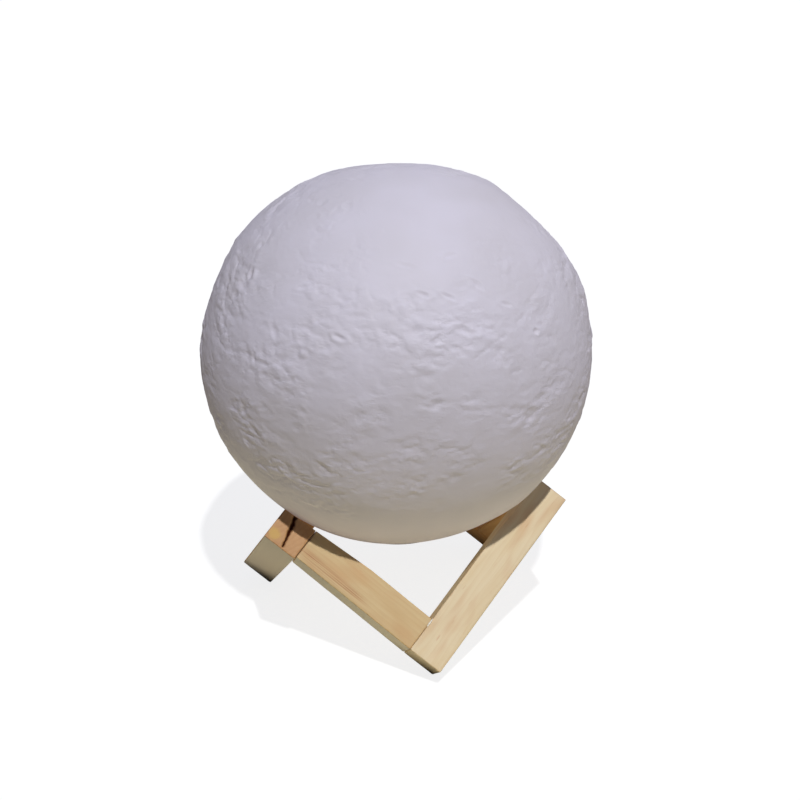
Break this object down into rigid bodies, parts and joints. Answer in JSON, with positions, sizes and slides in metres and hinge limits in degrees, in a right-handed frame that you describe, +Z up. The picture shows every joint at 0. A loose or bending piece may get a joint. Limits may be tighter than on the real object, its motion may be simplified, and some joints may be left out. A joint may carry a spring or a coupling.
{
  "type": "moon lamp",
  "caption": "Moon-shaped night light: a hollow textured globe resting loose on a zigzag pine stand, with a twist-in rechargeable light unit and a push button below.",
  "frame": {"origin": "on the table, under the vertical axis of the globe and the stand", "axes": "+Z up along the globe's axis, -Y towards the stand's front foot"},
  "size_m": [0.15, 0.15, 0.1834],
  "materials": {
    "pine": "planed, bare",
    "beech": "turned, bare",
    "moon_plastic": "translucent, textured",
    "white_plastic": "moulded, satin",
    "frosted_plastic": "frosted, translucent",
    "clear_plastic": "clear, polished",
    "black_plastic": "moulded",
    "button_metal": "brushed",
    "socket_steel": "drawn sheet",
    "screw_steel": "zinc plated",
    "grey_rubber": "matt",
    "circuit_board": "solder mask",
    "foam": "foam",
    "cell_foil": "foil",
    "board_aluminium": "white coated",
    "chip_plastic": "phosphor under clear resin",
    "lead_plastic": "extruded"
  },
  "bodies": {
    "stand": {"front_long_bar": "pine", "front_short_bar": "pine", "right_long_bar": "pine", "right_short_bar": "pine", "left_long_bar": "pine", "left_short_bar": "pine", "foot_dowels": "beech", "plug_dowels": "beech"},
    "globe": {"moon_shell": "moon_plastic", "collar_ring": "white_plastic"},
    "light_unit": {"unit_housing": "white_plastic", "soft_ring": "grey_rubber", "tact_switch": "black_plastic", "charging_socket": "socket_steel", "status_light": "clear_plastic", "control_board": "circuit_board", "battery_pad": "foam", "battery": "cell_foil", "unit_lid": "white_plastic", "light_board": "board_aluminium", "light_chips": "chip_plastic", "diffuser_dome": "frosted_plastic", "board_screws": "screw_steel", "lid_screws": "screw_steel", "battery_leads": "lead_plastic", "lamp_leads": "lead_plastic"},
    "button": {"push_button": "button_metal", "switch_plunger": "black_plastic"}
  },
  "joints": [
    {"name": "globe_lift", "type": "slide", "parent": "stand", "child": "globe", "axis": [0, 0, 1], "range_m": [0, 0.1]},
    {"name": "unit_twist", "type": "hinge", "parent": "globe", "child": "light_unit", "pos_m": [0, 0, 0.03896], "axis": [0, 0, -1], "range_deg": [0, 40]},
    {"name": "button_press", "type": "slide", "parent": "light_unit", "child": "button", "axis": [0, 0, 1], "range_m": [0, 0.0008], "stiffness_N_per_m": 1500}
  ]
}
